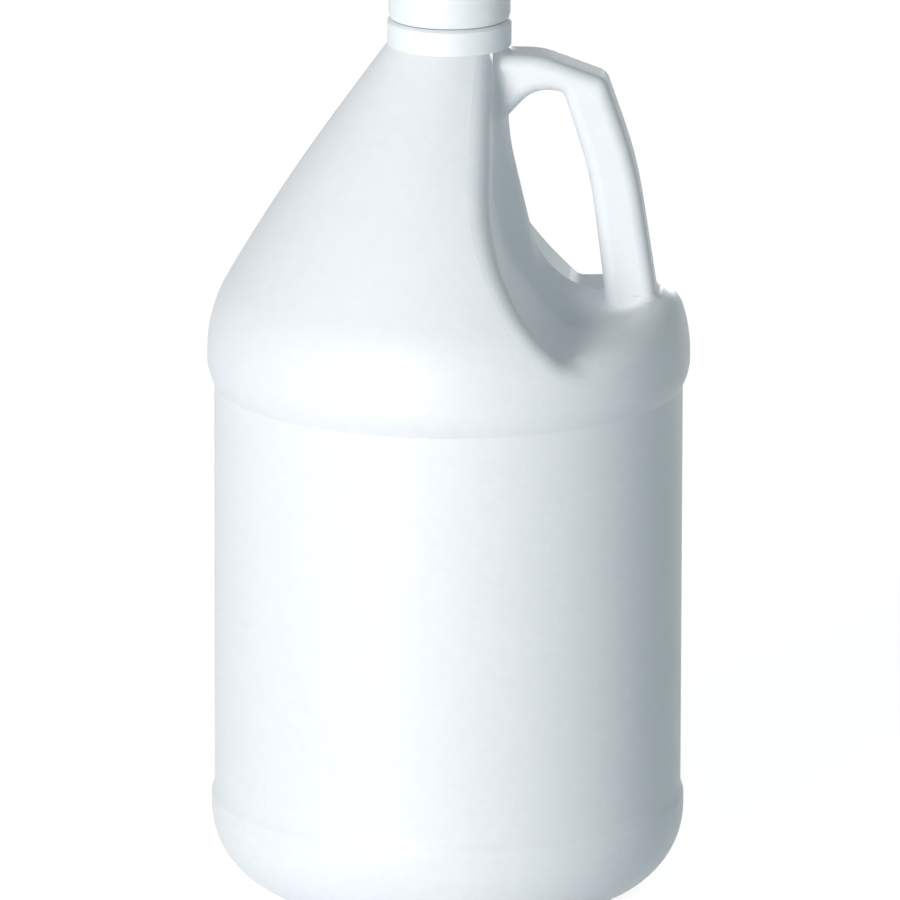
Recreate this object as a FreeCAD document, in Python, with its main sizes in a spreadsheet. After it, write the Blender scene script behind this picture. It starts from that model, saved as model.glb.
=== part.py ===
"""One gallon blow-moulded plastic jug with a hollow handle, a screw cap and its sealing liner.

Millimetres, +Z up. The origin is the middle of the standing ring. The handle lies in the XZ
plane on the +X side, and that plane is also where the two halves of the mould meet.
"""
import FreeCAD, Part
import Sketcher
import math
import os

SIZES = {
    "wall": 0.9,
    # standing ring and push-up of the base
    "push_up_depth": 6.0,
    "push_up_run": 7.0,
    "push_up_round": 8.0,
    "foot_width": 4.5,
    "foot_round": 5.0,
    "heel_round": 27.0,
    # round body: heel, straight panel, bulge and shoulder
    "bulge_radius": 77.8,
    "heel_inset": 1.3,
    "heel_height": 31.0,
    "step_height": 3.0,
    "step_round": 3.0,
    "panel_inset": 2.3,
    "panel_round": 1.0,
    "bulge_low": 172.7,
    "bulge_slope": 24.4,
    "bulge_low_round": 16.0,
    "bulge_height": 17.8,
    "bulge_high_round": 47.0,
    "shoulder_height": 40.9,
    "shoulder_slope": 30.0,
    "shoulder_round": 680.0,
    "neck_rise": 47.8,
    # neck finish
    "collar_radius": 19.95,
    "collar_height": 8.4,
    "collar_edge_run": 1.2,
    "collar_edge_rise": 0.9,
    "neck_radius": 17.45,
    "neck_height": 9.4,
    "bore_radius": 15.0,
    "lip_round": 0.5,
    # recess that frees the handle
    "recess_x": 14.3,
    "recess_bend_height": 23.0,
    "recess_bend_round": 64.0,
    "nose_run": 25.0,
    "nose_rise": -1.7,
    "nose_round": 5.0,
    "floor_inset": 17.8,
    "floor_rise": 5.2,
    "floor_round": 20.0,
    "rim_slope": 35.0,
    "crease_round": 8.0,
    # ridge that the recess rises to on the parting plane
    "ridge_half": 13.5,
    "ridge_top_run": 4.7,
    "ridge_top_drop": 29.2,
    "ridge_top_round": 80.0,
    "ridge_foot_run": 17.0,
    "ridge_foot_height": 9.2,
    "ridge_foot_round": 26.0,
    "ridge_floor_rise": 4.0,
    "ridge_end_inset": 13.7,
    # handle, outer side
    "grip_width": 20.0,
    "grip_edge_round": 4.2,
    "grip_corner_round": 4.5,
    "grip_drop": 2.4,
    "grip_top_run": 10.0,
    "grip_top_round": 24.0,
    "grip_corner_inset": 27.4,
    "grip_corner_drop": 7.5,
    "grip_back_inset": 17.5,
    "grip_back_drop": 28.3,
    "grip_back_round": 130.0,
    "grip_foot_inset": 8.4,
    # handle, finger side
    "grip_foot_depth": 19.2,
    "grip_back_depth": 14.8,
    "grip_corner_depth": 13.6,
    "hole_corner_drop": 4.5,
    "hole_corner_round": 2.5,
    "hole_back_drop": 26.8,
    "hole_back_round": 120.0,
    "hole_foot_rise": 6.4,
    "hole_foot_round": 60.0,
    "hole_top_run": 9.0,
    "hole_top_rise": 1.6,
    "hole_top_round": 11.0,
    "hole_root_drop": 21.4,
    # how far the handle runs into the body where the two are one wall
    "root_depth": 6.3,
    # screw thread of the neck, and the cap's that runs below it
    "pitch": 4.2333,
    "thread_turns": 1.1,
    "thread_start": 2.9,
    "thread_depth": 1.15,
    "thread_base": 2.4,
    "thread_tip": 1.1,
    "thread_root": 0.4,
    "cap_thread_base": 1.6,
    "cap_thread_tip": 0.8,
    "thread_clearance": 0.25,
    "flank_clearance": 0.2,
    # cap and liner
    "cap_gap": 0.4,
    "cap_edge_run": 0.5,
    "cap_edge_rise": 1.5,
    "cap_clearance": 0.2,
    "cap_wall": 0.8,
    "cap_top": 1.6,
    "cap_round": 1.2,
    "cap_inner_round": 0.4,
    "liner_thickness": 1.0,
}

# Radii, distances from the axis and heights that follow from the sizes.
PLACES = {
    "heel_radius": "bulge_radius - heel_inset",
    "foot_radius": "heel_radius - heel_round - foot_width",
    "push_up_radius": "foot_radius - push_up_run",
    "panel_radius": "bulge_radius - panel_inset",
    "panel_low": "heel_height + step_height",
    "panel_high": "bulge_low - panel_inset / tan( bulge_slope )",
    "bulge_high": "bulge_low + bulge_height",
    "shoulder_radius": "bulge_radius - shoulder_height * tan( shoulder_slope )",
    "shoulder_high": "bulge_high + shoulder_height",
    "collar_low": "shoulder_high + neck_rise",
    "collar_high": "collar_low + collar_height",
    "neck_high": "collar_high + neck_height",
    "neck_run": "( shoulder_radius - collar_radius ) / neck_rise",
    "past_body": "1.5 * bulge_radius",
    "nose_x": "recess_x + nose_run",
    "nose_z": "bulge_high + nose_rise",
    "floor_x": "bulge_radius - floor_inset",
    "floor_z": "nose_z + floor_rise",
    "past_body_z": "floor_z + ( past_body - floor_x ) * tan( rim_slope )",
    "ridge_floor_x": "floor_x + ridge_floor_rise / tan( rim_slope )",
    "ridge_floor_z": "floor_z + ridge_floor_rise",
    "ridge_end_x": "bulge_radius - ridge_end_inset",
    "root_x": "recess_x - root_depth",
    "root_z": "nose_z - root_depth",
    "grip_top_z": "collar_low - grip_drop",
    "grip_corner_x": "bulge_radius - grip_corner_inset",
    "grip_corner_z": "grip_top_z - grip_corner_drop",
    "grip_back_x": "bulge_radius - grip_back_inset",
    "grip_back_z": "grip_corner_z - grip_back_drop",
    "grip_foot_x": "bulge_radius - grip_foot_inset",
    "hole_foot_x": "grip_foot_x - grip_foot_depth",
    "hole_corner_x": "grip_corner_x - grip_corner_depth",
    "hole_corner_z": "grip_corner_z - hole_corner_drop",
    "hole_top_z": "hole_corner_z + hole_top_rise",
    "crest_radius": "neck_radius + thread_depth",
    "thread_z": "collar_high + thread_start",
    "flank_widths": "( thread_base + thread_tip + cap_thread_base + cap_thread_tip ) / 4",
    "cap_thread_z": "thread_z - flank_widths - flank_clearance",
    "cap_thread_crest": "neck_radius + thread_clearance",
    "cap_bore": "crest_radius + cap_clearance",
    "cap_radius": "cap_bore + cap_wall",
    "cap_low": "collar_high + cap_gap",
    "cap_ceiling": "neck_high + liner_thickness",
    "cap_high": "cap_ceiling + cap_top",
}

TOUCH = 0.01

doc = FreeCAD.newDocument("GallonJug")
sheet = doc.addObject("Spreadsheet::Sheet", "Sizes")
for row, (alias, size) in enumerate(SIZES.items(), start=1):
    sheet.set(f"A{row}", alias)
    sheet.set(f"B{row}", str(size))
    sheet.setAlias(f"B{row}", alias)
doc.recompute()


def bound(text):
    """The expression with each size as a cell of the sheet and each place written out."""
    words = []
    for word in text.split():
        if word in SIZES:
            words.append(f"Sizes.{word}")
        elif word in PLACES:
            words.append(f"( {bound(PLACES[word])} )")
        else:
            words.append(word)
    return " ".join(words)


def value_of(text):
    return float(sheet.evalExpression(bound(text)))


def crossing(first, second):
    """Where two lines, each a point and a direction, cross in the sketch plane."""
    (start, along), (other, across) = first, second
    gap = other - start
    spread = along.x * across.y - along.y * across.x
    return start + along * ((gap.x * across.y - gap.y * across.x) / spread)


def corner_arc(corner, into, out_of, radius):
    """The arc that rounds a corner, with its ends in the order of the outline."""
    reach = radius * math.tan(into.getAngle(out_of) / 2)
    left_turn = into.x * out_of.y - into.y * out_of.x > 0
    inward = FreeCAD.Vector(-into.y, into.x, 0) * (1 if left_turn else -1)
    first = corner - into * reach
    last = corner + out_of * reach
    centre = first + inward * radius
    sweep = (first, last) if left_turn else (last, first)
    angles = [math.atan2(end.y - centre.y, end.x - centre.x) for end in sweep]
    circle = Part.Circle(centre, FreeCAD.Vector(0, 0, 1), radius)
    return Part.ArcOfCircle(circle, *angles), first, last, left_turn


def outline(body, name, corners, grow="0", shift="0"):
    """A closed sketch on the body's XZ plane through corners (x, z, round), moved outward by grow.

    The corners make a guide polygon. Each side of the outline runs along its guide, or beside
    it at the distance grow, and each rounded corner is an arc tangent to its two sides. A side
    on the Z axis stays there, so that a profile that shrinks still reaches its axis.
    """
    sketch = body.newObject("Sketcher::SketchObject", name)
    origin_plane = next(f for f in body.Origin.OriginFeatures if f.Role == "XZ_Plane")
    sketch.AttachmentSupport = (origin_plane, [""])
    sketch.MapMode = "FlatFace"
    sketch.setExpression(".AttachmentOffset.Base.z", bound(shift))

    count = len(corners)
    points = [FreeCAD.Vector(value_of(x), value_of(z), 0) for x, z, _ in corners]
    area = sum(a.x * b.y - b.x * a.y for a, b in zip(points, points[1:] + points[:1]))
    winding = 1 if area > 0 else -1
    step = value_of(grow)
    on_axis = [corners[i][0] == corners[(i + 1) % count][0] == "0" for i in range(count)]
    beside = [step != 0 and not axial for axial in on_axis]

    sides = []
    for i in range(count):
        along = (points[(i + 1) % count] - points[i]).normalize()
        outward = FreeCAD.Vector(along.y, -along.x, 0) * winding
        sides.append((points[i] + outward * (step if beside[i] else 0), along))
    starts = [crossing(sides[i - 1], sides[i]) for i in range(count)]
    ends = starts[1:] + starts[:1]

    arcs = {}
    for i, (_, _, rounding) in enumerate(corners):
        if rounding == "0":
            continue
        into, out_of = sides[i - 1][1], sides[i][1]
        convex = (into.x * out_of.y - into.y * out_of.x) * winding > 0
        radius = f"{rounding} + ( {grow} )" if convex else f"{rounding} - ( {grow} )"
        arc, ends[i - 1], starts[i], left_turn = corner_arc(starts[i], into, out_of, value_of(radius))
        arcs[i] = (arc, radius, left_turn)

    sketch.addGeometry([Part.LineSegment(a, b) for a, b in zip(starts, ends)], False)
    arc_ids = dict(zip(arcs, sketch.addGeometry([arc for arc, _, _ in arcs.values()], False)))
    polygon = [Part.LineSegment(a, b) for a, b in zip(points, points[1:] + points[:1])]
    guides = sketch.addGeometry(polygon, True)

    START, END, X_AXIS, Z_AXIS = 1, 2, -1, -2

    def hold(expression, *constraint):
        index = sketch.addConstraint(Sketcher.Constraint(*constraint))
        sketch.setExpression(f"Constraints[{index}]", bound(expression))

    for i, (x, z, rounding) in enumerate(corners):
        before, guide = (i - 1) % count, guides[i]
        sketch.addConstraint(Sketcher.Constraint("Coincident", guides[before], END, guide, START))
        if x == "0":
            sketch.addConstraint(Sketcher.Constraint("PointOnObject", guide, START, Z_AXIS))
        else:
            hold(x, "DistanceX", X_AXIS, START, guide, START, points[i].x)
        if z == "0":
            sketch.addConstraint(Sketcher.Constraint("PointOnObject", guide, START, X_AXIS))
        else:
            hold(z, "DistanceY", X_AXIS, START, guide, START, points[i].y)
        if beside[i]:
            sketch.addConstraint(Sketcher.Constraint("Parallel", i, guide))
            hold(f"abs( {grow} )", "Distance", i, START, guide, abs(step))
        else:
            sketch.addConstraint(Sketcher.Constraint("PointOnObject", i, START, guide))
            sketch.addConstraint(Sketcher.Constraint("PointOnObject", i, END, guide))
        if i in arcs:
            arc, radius, left_turn = arcs[i]
            first, last = (START, END) if left_turn else (END, START)
            sketch.addConstraint(Sketcher.Constraint("Tangent", before, END, arc_ids[i], first))
            sketch.addConstraint(Sketcher.Constraint("Tangent", arc_ids[i], last, i, START))
            hold(radius, "Radius", arc_ids[i], arc.Radius)
        else:
            sketch.addConstraint(Sketcher.Constraint("Coincident", before, END, i, START))
    return sketch


def revolved(body, sketch):
    """A full turn of the profile that closes on the -X side, away from the handle."""
    turned = body.newObject("PartDesign::Revolution", f"{body.Name}_turned")
    turned.Profile = sketch
    turned.ReferenceAxis = (sketch, ["V_Axis"])
    turned.Angle = 360
    turned.Midplane = True
    doc.recompute()
    return turned


def centred(body, kind, name, sketch, width):
    """A pad or pocket of the sketch, half to each side of the parting plane."""
    feature = body.newObject(f"PartDesign::{kind}", name)
    feature.Profile = sketch
    feature.SideType = "Symmetric"
    feature.setExpression("Length", bound(width))
    doc.recompute()
    return feature


def rounded(body, name, base, edges, radius):
    fillet = body.newObject("PartDesign::Fillet", name)
    fillet.Base = (base, edges)
    fillet.setExpression("Radius", bound(radius))
    doc.recompute()
    return fillet


BODY_PROFILE = [
    ("0", "push_up_depth", "0"),
    ("push_up_radius", "push_up_depth", "push_up_round"),
    ("foot_radius", "0", "foot_round"),
    ("heel_radius", "0", "heel_round"),
    ("heel_radius", "heel_height", "step_round"),
    ("panel_radius", "panel_low", "step_round"),
    ("panel_radius", "panel_high", "panel_round"),
    ("bulge_radius", "bulge_low", "bulge_low_round"),
    ("bulge_radius", "bulge_high", "bulge_high_round"),
    ("shoulder_radius", "shoulder_high", "shoulder_round"),
]
NECK_PROFILE = [
    ("collar_radius", "collar_low", "0"),
    ("collar_radius", "collar_high - collar_edge_rise", "0"),
    ("collar_radius - collar_edge_run", "collar_high", "0"),
    ("neck_radius", "collar_high", "lip_round"),
    ("neck_radius", "neck_high", "lip_round"),
    ("0", "neck_high", "0"),
]
# The bore runs down until it meets the inside of the shoulder, and out past the lip.
BORE_PROFILE = [
    ("bore_radius + wall", "collar_low + ( collar_radius - bore_radius - wall ) / neck_run", "0"),
    ("bore_radius + wall", "neck_high + 2 * wall", "0"),
    ("0", "neck_high + 2 * wall", "0"),
]
RECESS = [
    ("recess_x", "collar_low", "0"),
    ("recess_x", "nose_z + recess_bend_height", "recess_bend_round"),
    ("nose_x", "nose_z", "nose_round"),
    ("floor_x", "floor_z", "floor_round"),
    ("past_body", "past_body_z", "0"),
    ("past_body", "collar_low", "0"),
]
RIDGE = [
    ("recess_x + ridge_top_run", "collar_low", "0"),
    ("recess_x + ridge_top_run", "collar_low - ridge_top_drop", "ridge_top_round"),
    ("recess_x + ridge_foot_run", "nose_z + ridge_foot_height", "ridge_foot_round"),
    ("ridge_floor_x", "ridge_floor_z", "floor_round"),
    ("past_body", "past_body_z", "0"),
    ("past_body", "collar_low", "0"),
]
RIDGE_BLOCK = [
    ("root_x", "root_z", "0"),
    ("ridge_end_x", "root_z", "0"),
    ("ridge_end_x", "collar_low", "0"),
    ("root_x", "collar_low", "0"),
]
GRIP = [
    ("root_x", "grip_top_z", "0"),
    ("collar_radius + grip_top_run", "grip_top_z", "grip_top_round"),
    ("grip_corner_x", "grip_corner_z", "grip_corner_round"),
    ("grip_back_x", "grip_back_z", "grip_back_round"),
    ("grip_foot_x", "root_z", "0"),
    ("hole_foot_x", "root_z", "0"),
    ("hole_foot_x", "floor_z + hole_foot_rise", "hole_foot_round"),
    ("grip_back_x - grip_back_depth", "hole_corner_z - hole_back_drop", "hole_back_round"),
    ("hole_corner_x", "hole_corner_z", "hole_corner_round"),
    ("hole_corner_x - hole_top_run", "hole_top_z", "hole_top_round"),
    ("root_x", "hole_top_z - hole_root_drop", "0"),
]


def section_between(ridge_share):
    """The outline of the recess between its ridge on the parting plane and its full depth."""
    corners = []
    for ridge_corner, recess_corner in zip(RIDGE, RECESS):
        mixed = []
        for at_ridge, at_recess in zip(ridge_corner, recess_corner):
            same = at_ridge == at_recess
            blend = f"{ridge_share} * ( {at_ridge} ) + {1 - ridge_share} * ( {at_recess} )"
            mixed.append(at_ridge if same else blend)
        corners.append(tuple(mixed))
    return corners


def turned_form(name, neck, inset):
    """The round body and neck before the recess is cut."""
    body = doc.addObject("PartDesign::Body", name)
    revolved(body, outline(body, f"{name}_profile", BODY_PROFILE + neck, grow=f"-1 * {inset}"))
    return body


def slab(name, corners, width, inset):
    """An outline padded to both sides of the parting plane."""
    body = doc.addObject("PartDesign::Body", name)
    centred(body, "Pad", f"{name}_pad", outline(body, f"{name}_outline", corners, grow=inset), width)
    return body


def creased(name, turned, recess, inset):
    """The turned form less the recess, with the edges that lie on both rounded."""
    opened = doc.addObject("Part::Cut", f"{name}_opened")
    opened.Base = turned
    opened.Tool = recess
    doc.recompute()

    walls = (turned.Shape.Shells[0], recess.Shape.Shells[0])
    top = value_of(f"collar_low + {inset}") - TOUCH
    numbers = []
    for number, edge in enumerate(opened.Shape.Edges, start=1):
        first, last = edge.ParameterRange
        middle = edge.valueAt((first + last) / 2)
        on_both = all(wall.distToShape(Part.Vertex(middle))[0] < TOUCH for wall in walls)
        if on_both and middle.z < top:
            numbers.append(number)
    radius = value_of(f"crease_round - {inset}")
    fillet = doc.addObject("Part::Fillet", f"{name}_creased")
    fillet.Base = opened
    fillet.Edges = [(number, radius, radius) for number in numbers]
    doc.recompute()
    return fillet


def ridge_form(name, turned, inset):
    """The ridge on the parting plane, which falls to the recess on both sides."""
    body = slab(f"{name}_block", RIDGE_BLOCK, "2 * ridge_half", inset)
    stations = (0, 0.25, 0.5, 0.75, 1)
    for side, sign in (("front", 1), ("back", -1)):
        sections = []
        for number, station in enumerate(stations):
            corners = section_between(1 - station ** 2 * (3 - 2 * station))
            shift = f"{sign * station} * ridge_half"
            sections.append(outline(body, f"{name}_{side}_{number}", corners, inset, shift))
        slope = body.newObject("PartDesign::SubtractiveLoft", f"{name}_{side}_slope")
        slope.Profile = sections[0]
        slope.Sections = sections[1:]
        doc.recompute()
    kept = doc.addObject("Part::Common", name)
    kept.Base = body
    kept.Tool = turned
    doc.recompute()
    return kept


def jug_form(name, neck, inset):
    """Round body, neck, recess and ridge; inset is 0 outside and the wall for the cavity."""
    turned = turned_form(f"{name}_turned", neck, inset)
    recess = slab(f"{name}_recess", RECESS, "2 * past_body", inset)
    return [creased(name, turned, recess, inset), ridge_form(f"{name}_ridge", turned, inset)]


def grip_form(name, inset):
    """The handle bar with its long edges rounded, running into the body at both ends."""
    body = doc.addObject("PartDesign::Body", name)
    bar_outline = outline(body, f"{name}_outline", GRIP, grow=f"-1 * {inset}")
    bar = centred(body, "Pad", f"{name}_bar", bar_outline, f"grip_width - 2 * {inset}")
    buried_x = value_of(f"root_x + {inset}") + TOUCH
    buried_z = value_of(f"root_z + {inset}") + TOUCH
    edges = []
    for number, edge in enumerate(bar.Shape.Edges, start=1):
        box = edge.BoundBox
        if box.YLength < TOUCH and box.XMax > buried_x and box.ZMax > buried_z:
            edges.append(f"Edge{number}")
    rounded(body, f"{name}_edges", bar, edges, f"grip_edge_round - {inset}")
    return body


def thread(body, name, root, crest, height, base, tip):
    """A ridge of trapezoid section that climbs round the axis, added to the body."""
    corners = [
        (root, f"{height} - {base} / 2", "0"),
        (crest, f"{height} - {tip} / 2", "0"),
        (crest, f"{height} + {tip} / 2", "0"),
        (root, f"{height} + {base} / 2", "0"),
    ]
    section = outline(body, f"{name}_section", corners)
    helix = body.newObject("PartDesign::AdditiveHelix", name)
    helix.Profile = section
    helix.ReferenceAxis = (section, ["V_Axis"])
    helix.Mode = "pitch-turns-angle"
    helix.setExpression("Pitch", bound("pitch"))
    helix.setExpression("Turns", bound("thread_turns"))
    doc.recompute()


def joined(name, shapes):
    union = doc.addObject("Part::MultiFuse", name)
    union.Shapes = shapes
    union.Refine = True
    doc.recompute()
    return union


def make_jug_body():
    """One hollow shell: the outside form less the cavity, which is the same form one wall smaller."""
    neck_thread = doc.addObject("PartDesign::Body", "neck_thread")
    thread(
        neck_thread, "neck_helix", "neck_radius - thread_root", "crest_radius",
        "thread_z", "thread_base", "thread_tip",
    )
    outer = [*jug_form("outer", NECK_PROFILE, "0"), grip_form("outer_grip", "0"), neck_thread]
    outside = joined("outside", outer)
    inner = [*jug_form("inner", BORE_PROFILE, "wall"), grip_form("inner_grip", "wall")]
    cavity = joined("cavity", inner)
    shell = doc.addObject("Part::Cut", "jug_body")
    shell.Base = outside
    shell.Tool = cavity
    doc.recompute()
    return shell


def make_cap():
    """A plain screw cap, threaded inside, with its skirt just clear of the neck's collar."""
    body = doc.addObject("PartDesign::Body", "cap")
    corners = [
        ("cap_bore", "cap_low", "0"),
        ("cap_radius - cap_edge_run", "cap_low", "0"),
        ("cap_radius", "cap_low + cap_edge_rise", "0"),
        ("cap_radius", "cap_high", "cap_round"),
        ("0", "cap_high", "0"),
        ("0", "cap_ceiling", "0"),
        ("cap_bore", "cap_ceiling", "cap_inner_round"),
    ]
    revolved(body, outline(body, "cap_profile", corners))
    thread(
        body, "cap_helix", "cap_bore + thread_root", "cap_thread_crest",
        "cap_thread_z", "cap_thread_base", "cap_thread_tip",
    )
    return body


def make_cap_liner():
    """The sealing disc between the neck's lip and the cap's ceiling."""
    disc = doc.addObject("Part::Cylinder", "cap_liner")
    disc.setExpression("Radius", bound("cap_bore - cap_inner_round"))
    disc.setExpression("Height", bound("liner_thickness"))
    disc.setExpression(".Placement.Base.z", bound("neck_high"))
    doc.recompute()
    return disc


pieces = {"jug_body": make_jug_body(), "cap": make_cap(), "cap_liner": make_cap_liner()}

for item in doc.Objects:
    if "Invalid" in item.State or "Error" in item.State:
        raise RuntimeError(f"{item.Name} failed: {item.State}")
os.makedirs("parts", exist_ok=True)
for node, piece in pieces.items():
    piece.Label = node
    shape = piece.Shape
    if shape.isNull() or not shape.isValid() or len(shape.Solids) != 1:
        raise RuntimeError(f"{node} is not one valid solid")
    print(f"{node}: {shape.Volume:.0f} mm3, {len(shape.Faces)} faces")
    shape.exportStep(f"parts/{node}.step")
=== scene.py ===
import bpy
import bmesh
import math
from mathutils import Matrix, Vector
from mathutils.bvhtree import BVHTree


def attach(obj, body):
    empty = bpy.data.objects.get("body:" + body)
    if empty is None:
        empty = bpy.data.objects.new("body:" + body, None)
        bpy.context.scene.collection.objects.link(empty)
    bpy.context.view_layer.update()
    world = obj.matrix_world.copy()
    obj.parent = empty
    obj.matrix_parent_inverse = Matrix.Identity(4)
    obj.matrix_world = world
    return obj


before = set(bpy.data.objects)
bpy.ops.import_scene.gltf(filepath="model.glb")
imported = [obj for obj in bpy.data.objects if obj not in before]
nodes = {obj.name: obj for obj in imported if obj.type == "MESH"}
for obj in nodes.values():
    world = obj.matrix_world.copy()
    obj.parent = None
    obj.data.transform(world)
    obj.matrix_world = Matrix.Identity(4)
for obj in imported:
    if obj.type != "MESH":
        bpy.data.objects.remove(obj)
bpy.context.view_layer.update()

scene = bpy.context.scene


def deselectAll():
    bpy.ops.object.select_all(action="DESELECT")


# a value goes to the node's own setting of that name, or else to its input socket
def addNode(tree, kind, **values):
    node = tree.nodes.new(kind)
    for name, value in values.items():
        if hasattr(node, name):
            setattr(node, name, value)
        else:
            node.inputs[name].default_value = value
    return node


# fitted to the outlines in the photo: azimuth turns round from the front towards the handle,
# pitch looks down
cameraView = {
    "azimuth": 2.0,
    "pitch": 14.602,
    "roll": 0.142,
    "distance": 4.97851,
    "height": 1.44138,
    "aside": 0.00053,
    "lens": 638.295,
    "sensor": 36,
}


def placeCamera():
    data = bpy.data.cameras.new("camera")
    data.lens = cameraView["lens"]
    data.sensor_width = cameraView["sensor"]
    camera = bpy.data.objects.new("camera", data)
    scene.collection.objects.link(camera)
    turn = Matrix.Rotation(math.radians(cameraView["azimuth"]), 4, "Z")
    place = Matrix.Translation(
        (cameraView["aside"], -cameraView["distance"], cameraView["height"]))
    tilt = Matrix.Rotation(math.radians(90 - cameraView["pitch"]), 4, "X")
    roll = Matrix.Rotation(math.radians(cameraView["roll"]), 4, "Z")
    camera.matrix_world = turn @ place @ tilt @ roll
    scene.camera = camera


# a pale studio: a large soft window to the front left, a small lamp behind, a dim sky and a
# pale floor
studio = {
    "floorSize": 12.0,
    "floorColour": (0.78, 0.82, 0.84, 1),
    "floorRoughness": 0.9,
    "floorWhite": (1, 0.95, 0.93, 1),
    "floorShow": 0.78,
    # height from 0 (straight down) to 1 (straight up), and the sky's colour there
    "skyLow": (0.3, (0.62, 0.74, 0.76, 1)),
    "skyMiddle": (0.52, (0.50, 0.60, 0.62, 1)),
    "skyHigh": (0.85, (0.16, 0.21, 0.22, 1)),
    "skyStrength": 0.87,
    "aim": (0, 0, 0.15),
    # name: place, size, watts, colour
    "lamps": {
        "window": ((-1.3, -2.66, 0.5), 1.4, 78.0, (1.0, 0.98, 0.985)),
        "backFill": ((0.3, 3.1, 0.27), 0.5, 13.0, (0.96, 0.99, 1.0)),
    },
}


def backdropMask(tree):
    # 1 for what the camera, a reflection or a see-through piece shows, 0 for the light given
    path = addNode(tree, "ShaderNodeLightPath")
    either = addNode(tree, "ShaderNodeMath", operation="MAXIMUM")
    every = addNode(tree, "ShaderNodeMath", operation="MAXIMUM")
    tree.links.new(path.outputs["Is Camera Ray"], either.inputs[0])
    tree.links.new(path.outputs["Is Glossy Ray"], either.inputs[1])
    tree.links.new(either.outputs[0], every.inputs[0])
    tree.links.new(path.outputs["Is Transmission Ray"], every.inputs[1])
    return every


def makeWorld():
    world = bpy.data.worlds.new("studioWorld")
    scene.world = world
    world.use_nodes = True
    tree = world.node_tree
    tree.nodes.clear()
    place = addNode(tree, "ShaderNodeTexCoord")
    split = addNode(tree, "ShaderNodeSeparateXYZ")
    ramp = addNode(tree, "ShaderNodeValToRGB")
    sky = addNode(tree, "ShaderNodeBackground", Strength=studio["skyStrength"])
    white = addNode(tree, "ShaderNodeBackground", Color=(1, 1, 1, 1), Strength=1.0)
    mix = addNode(tree, "ShaderNodeMixShader")
    out = addNode(tree, "ShaderNodeOutputWorld")
    shift = addNode(tree, "ShaderNodeMapRange")
    shift.inputs["From Min"].default_value = -1
    low, high = ramp.color_ramp.elements
    low.position, low.color = studio["skyLow"]
    high.position, high.color = studio["skyHigh"]
    height, colour = studio["skyMiddle"]
    ramp.color_ramp.elements.new(height).color = colour
    tree.links.new(place.outputs["Generated"], split.inputs[0])
    tree.links.new(split.outputs["Z"], shift.inputs["Value"])
    tree.links.new(shift.outputs[0], ramp.inputs[0])
    tree.links.new(ramp.outputs["Color"], sky.inputs["Color"])
    tree.links.new(backdropMask(tree).outputs[0], mix.inputs[0])
    tree.links.new(sky.outputs[0], mix.inputs[1])
    tree.links.new(white.outputs[0], mix.inputs[2])
    tree.links.new(mix.outputs[0], out.inputs["Surface"])


def makeFloor():
    deselectAll()
    bpy.ops.mesh.primitive_plane_add(size=studio["floorSize"], location=(0, 0, 0))
    floor = bpy.context.object
    floor.name = "floor"
    material = bpy.data.materials.new("floorPaper")
    material.use_nodes = True
    tree = material.node_tree
    shader = tree.nodes["Principled BSDF"]
    shader.inputs["Base Color"].default_value = studio["floorColour"]
    shader.inputs["Roughness"].default_value = studio["floorRoughness"]
    # seen directly it shows white, with the jug's shadow left on it
    white = addNode(tree, "ShaderNodeEmission", Color=studio["floorWhite"])
    strength = addNode(tree, "ShaderNodeMath", operation="MULTIPLY")
    strength.inputs[1].default_value = studio["floorShow"]
    both = addNode(tree, "ShaderNodeAddShader")
    tree.links.new(backdropMask(tree).outputs[0], strength.inputs[0])
    tree.links.new(strength.outputs[0], white.inputs["Strength"])
    tree.links.new(shader.outputs[0], both.inputs[0])
    tree.links.new(white.outputs[0], both.inputs[1])
    tree.links.new(both.outputs[0], tree.nodes["Material Output"].inputs["Surface"])
    floor.data.materials.append(material)


def makeLamps():
    for name, (place, size, watts, colour) in studio["lamps"].items():
        data = bpy.data.lights.new(name, "AREA")
        data.shape = "DISK"
        data.size = size
        data.energy = watts
        data.color = colour
        lamp = bpy.data.objects.new(name, data)
        scene.collection.objects.link(lamp)
        lamp.location = place
        towards = Vector(studio["aim"]) - Vector(place)
        lamp.rotation_euler = towards.to_track_quat("-Z", "Y").to_euler()


# the surface that all the plastics share: name of a group input, key of its value in plastics
surfaceInputs = {
    "Mottle Scale": "mottleScale",
    "Mottle Amount": "mottleAmount",
    "Gloss Low": "glossLow",
    "Gloss High": "glossHigh",
    "Grain Scale": "grainScale",
    "Draw Scale": "drawScale",
    "Colour": "colour",
    "Dark Colour": "darkColour",
}
# drawn marks are streaks along z, left where the melt stretched
surfaceShape = {
    "drawStretch": (1, 1, 0.25),
    "glossRange": (0.3, 0.7),            # part of the streak noise that the gloss spans
    "grainShare": 0.35,                  # grain against streaks in the height
    "mottleNoise": {"Detail": 4.0, "Roughness": 0.6},
    "drawNoise": {"Detail": 2.0, "Roughness": 0.5},
    "grainNoise": {"Detail": 3.0, "Roughness": 0.65},
}


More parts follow.
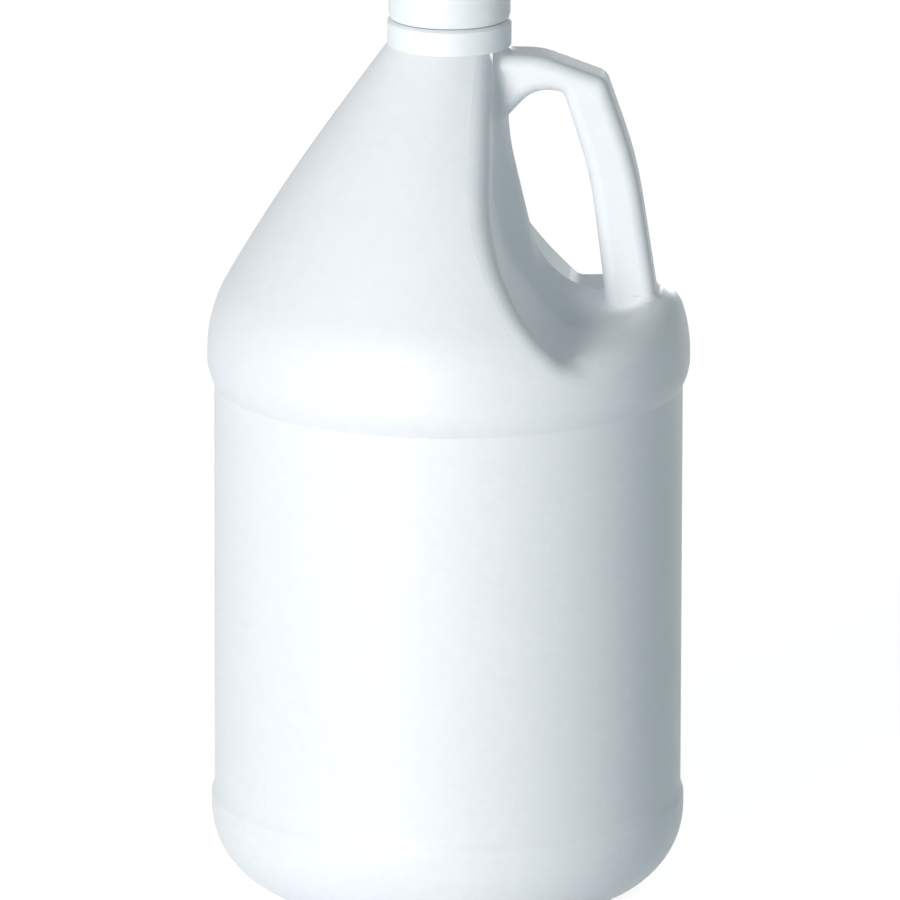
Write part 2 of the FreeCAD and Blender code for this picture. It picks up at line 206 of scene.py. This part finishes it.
# one group for all the moulded plastics: fine mottle in the colour, uneven gloss, faint grain
def makePlasticSurface():
    group = bpy.data.node_groups.new("mouldedSurface", "ShaderNodeTree")
    sockets = group.interface
    for name in surfaceInputs:
        kind = "NodeSocketColor" if name.endswith("Colour") else "NodeSocketFloat"
        sockets.new_socket(name, in_out="INPUT", socket_type=kind)
    sockets.new_socket("Colour", in_out="OUTPUT", socket_type="NodeSocketColor")
    sockets.new_socket("Roughness", in_out="OUTPUT", socket_type="NodeSocketFloat")
    sockets.new_socket("Height", in_out="OUTPUT", socket_type="NodeSocketFloat")
    given = addNode(group, "NodeGroupInput")
    out = addNode(group, "NodeGroupOutput")
    place = addNode(group, "ShaderNodeTexCoord")
    stretch = addNode(group, "ShaderNodeMapping")
    stretch.inputs["Scale"].default_value = surfaceShape["drawStretch"]
    mottle = addNode(group, "ShaderNodeTexNoise", **surfaceShape["mottleNoise"])
    drawn = addNode(group, "ShaderNodeTexNoise", **surfaceShape["drawNoise"])
    grain = addNode(group, "ShaderNodeTexNoise", **surfaceShape["grainNoise"])
    share = addNode(group, "ShaderNodeMath", operation="MULTIPLY")
    # a colour mix has its colours at inputs 6 and 7 and its result at output 2
    mix = addNode(group, "ShaderNodeMix", data_type="RGBA")
    gloss = addNode(group, "ShaderNodeMapRange")
    gloss.inputs["From Min"].default_value = surfaceShape["glossRange"][0]
    gloss.inputs["From Max"].default_value = surfaceShape["glossRange"][1]
    height = addNode(group, "ShaderNodeMath", operation="MULTIPLY_ADD")
    height.inputs[1].default_value = surfaceShape["grainShare"]
    link = group.links.new
    link(place.outputs["Object"], mottle.inputs["Vector"])
    link(place.outputs["Object"], grain.inputs["Vector"])
    link(place.outputs["Object"], stretch.inputs["Vector"])
    link(stretch.outputs[0], drawn.inputs["Vector"])
    link(given.outputs["Mottle Scale"], mottle.inputs["Scale"])
    link(given.outputs["Grain Scale"], grain.inputs["Scale"])
    link(given.outputs["Draw Scale"], drawn.inputs["Scale"])
    link(mottle.outputs["Fac"], share.inputs[0])
    link(given.outputs["Mottle Amount"], share.inputs[1])
    link(share.outputs[0], mix.inputs["Factor"])
    link(given.outputs["Colour"], mix.inputs[6])
    link(given.outputs["Dark Colour"], mix.inputs[7])
    link(drawn.outputs["Fac"], gloss.inputs["Value"])
    link(given.outputs["Gloss Low"], gloss.inputs["To Min"])
    link(given.outputs["Gloss High"], gloss.inputs["To Max"])
    link(grain.outputs["Fac"], height.inputs[0])
    link(drawn.outputs["Fac"], height.inputs[2])
    link(mix.outputs[2], out.inputs["Colour"])
    link(gloss.outputs[0], out.inputs["Roughness"])
    link(height.outputs[0], out.inputs["Height"])
    return group


# scales are per metre, bumpDistance and subsurfaceRadius in metres
plastics = {
    "jugPlastic": {
        "colour": (0.90, 0.91, 0.93, 1),
        "darkColour": (0.74, 0.79, 0.81, 1),
        "mottleScale": 240.0,
        "mottleAmount": 0.45,
        "glossLow": 0.40,
        "glossHigh": 0.52,
        "grainScale": 700.0,
        "drawScale": 16.0,
        "bumpStrength": 0.35,
        "bumpDistance": 0.0005,
        "subsurface": 0.12,
        "subsurfaceRadius": (0.004, 0.005, 0.005),
    },
    "capPlastic": {
        "colour": (0.88, 0.905, 0.915, 1),
        "darkColour": (0.78, 0.82, 0.83, 1),
        "mottleScale": 300.0,
        "mottleAmount": 0.35,
        "glossLow": 0.34,
        "glossHigh": 0.44,
        "grainScale": 1100.0,
        "drawScale": 30.0,
        "bumpStrength": 0.2,
        "bumpDistance": 0.0003,
        "subsurface": 0.08,
        "subsurfaceRadius": (0.003, 0.004, 0.004),
    },
    "linerFoam": {
        "colour": (0.84, 0.85, 0.84, 1),
        "darkColour": (0.66, 0.67, 0.66, 1),
        "mottleScale": 1600.0,
        "mottleAmount": 0.6,
        "glossLow": 0.75,
        "glossHigh": 0.9,
        "grainScale": 2600.0,
        "drawScale": 60.0,
        "bumpStrength": 0.8,
        "bumpDistance": 0.0004,
        "subsurface": 0.0,
        "subsurfaceRadius": (0.001, 0.001, 0.001),
    },
}


def plastic(name, group):
    look = plastics[name]
    material = bpy.data.materials.new(name)
    material.use_nodes = True
    tree = material.node_tree
    shader = tree.nodes["Principled BSDF"]
    surface = tree.nodes.new("ShaderNodeGroup")
    surface.node_tree = group
    for socket, key in surfaceInputs.items():
        surface.inputs[socket].default_value = look[key]
    bump = addNode(tree, "ShaderNodeBump", Strength=look["bumpStrength"],
                   Distance=look["bumpDistance"])
    shader.inputs["Subsurface Weight"].default_value = look["subsurface"]
    shader.inputs["Subsurface Radius"].default_value = look["subsurfaceRadius"]
    shader.inputs["Subsurface Scale"].default_value = 1.0
    tree.links.new(surface.outputs["Colour"], shader.inputs["Base Color"])
    tree.links.new(surface.outputs["Roughness"], shader.inputs["Roughness"])
    tree.links.new(surface.outputs["Height"], bump.inputs["Height"])
    tree.links.new(bump.outputs[0], shader.inputs["Normal"])
    return material


# the mould's two halves leave a fine raised line on the plane through the handle
mouldLine = {"halfWidth": 0.00035, "height": 0.6}


def addMouldLine(material):
    tree = material.node_tree
    link = tree.links.new
    bump = next(node for node in tree.nodes if node.type == "BUMP")
    grain = bump.inputs["Height"].links[0].from_socket
    place = addNode(tree, "ShaderNodeTexCoord")
    split = addNode(tree, "ShaderNodeSeparateXYZ")
    away = addNode(tree, "ShaderNodeMath", operation="ABSOLUTE")
    line = addNode(tree, "ShaderNodeMapRange", interpolation_type="SMOOTHSTEP")
    line.inputs["From Max"].default_value = mouldLine["halfWidth"]
    line.inputs["To Min"].default_value = mouldLine["height"]
    line.inputs["To Max"].default_value = 0
    both = addNode(tree, "ShaderNodeMath", operation="ADD")
    link(place.outputs["Object"], split.inputs[0])
    link(split.outputs["Y"], away.inputs[0])
    link(away.outputs[0], line.inputs["Value"])
    link(line.outputs[0], both.inputs[0])
    link(grain, both.inputs[1])
    link(both.outputs[0], bump.inputs["Height"])


def dress(piece, material):
    piece.data.materials.clear()
    piece.data.materials.append(material)


# the handle is blown in one with the body, so a soft hollow runs round each of its two ends;
# lengths in metres
softHollows = {
    "weld": 1e-6,
    "mouth": (0.0165, 0.285),            # radius and height that part the bore from the outside
    "grid": 0.0005,
    "smoothing": 110,
    "sink": 0.00003,                     # so that a hollow's edge runs out under the surface
    "thickness": 0.0004,
    # name: lowest and highest corner of the box that holds the join
    "boxes": {
        "footHollow": ((0.044, -0.018, 0.189), (0.0755, 0.018, 0.215)),
        "armHollow": ((0.008, -0.020, 0.245), (0.034, 0.020, 0.2790)),
    },
}


def dropCavity(mesh):
    # keeps what is reached from the handle's outermost point without going in through the mouth
    radius, height = softHollows["mouth"]
    start = max(mesh.verts, key=lambda point: point.co.x)
    found, waiting = {start}, [start]
    while waiting:
        for edge in waiting.pop().link_edges:
            for point in edge.verts:
                inMouth = point.co.z > height and math.hypot(point.co.x, point.co.y) < radius
                if point not in found and not inMouth:
                    found.add(point)
                    waiting.append(point)
    for point in mesh.verts:
        point.select_set(point not in found)
    bpy.ops.mesh.delete(type="VERT")


def applyModifier(piece, name, kind, **values):
    modifier = piece.modifiers.new(name, kind)
    for key, value in values.items():
        setattr(modifier, key, value)
    bpy.ops.object.modifier_apply(modifier=name)


def makeHollow(name, low, high):
    deselectAll()
    piece = nodes["jug_body"].copy()
    piece.data = nodes["jug_body"].data.copy()
    piece.name = name
    scene.collection.objects.link(piece)
    piece.select_set(True)
    bpy.context.view_layer.objects.active = piece
    bpy.ops.object.mode_set(mode="EDIT")
    bpy.ops.mesh.select_mode(type="VERT")
    bpy.ops.mesh.select_all(action="SELECT")
    bpy.ops.mesh.remove_doubles(threshold=softHollows["weld"])
    bpy.ops.mesh.select_all(action="DESELECT")
    dropCavity(bmesh.from_edit_mesh(piece.data))
    outside = BVHTree.FromBMesh(bmesh.from_edit_mesh(piece.data))
    for axis in range(3):
        for corner, sign in ((low, -1), (high, 1)):
            normal = [0, 0, 0]
            normal[axis] = sign
            bpy.ops.mesh.select_all(action="SELECT")
            bpy.ops.mesh.bisect(plane_co=corner, plane_no=normal, use_fill=True, clear_outer=True)
    bpy.ops.object.mode_set(mode="OBJECT")
    applyModifier(piece, "remesh", "REMESH", mode="VOXEL", voxel_size=softHollows["grid"])
    applyModifier(piece, "smooth", "SMOOTH", iterations=softHollows["smoothing"])
    applyModifier(piece, "sink", "DISPLACE", mid_level=0, strength=-softHollows["sink"])
    # only what stands proud of the jug's outer skin is kept, and given a thin wall
    bpy.ops.object.mode_set(mode="EDIT")
    mesh = bmesh.from_edit_mesh(piece.data)
    for face in mesh.faces:
        proud = []
        for point in face.verts:
            place, normal, _, _ = outside.find_nearest(point.co)
            proud.append((point.co - place).dot(normal))
        face.select_set(max(proud) < 0)
    bpy.ops.mesh.delete(type="FACE")
    bpy.ops.object.mode_set(mode="OBJECT")
    applyModifier(piece, "wall", "SOLIDIFY", thickness=softHollows["thickness"], offset=-1)
    bpy.ops.object.shade_smooth()
    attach(piece, "jug")
    print(name, len(piece.data.polygons), "faces")
    return piece


placeCamera()
makeWorld()
makeFloor()
makeLamps()
print("stage ready")

surfaceGroup = makePlasticSurface()
jugPlastic = plastic("jugPlastic", surfaceGroup)
addMouldLine(jugPlastic)
dress(nodes["jug_body"], jugPlastic)
for name, (low, high) in softHollows["boxes"].items():
    dress(makeHollow(name, low, high), jugPlastic)
print("hollows ready")
dress(nodes["cap"], plastic("capPlastic", surfaceGroup))
dress(nodes["cap_liner"], plastic("linerFoam", surfaceGroup))
scene.view_settings.view_transform = "Standard"
print("plastics ready")
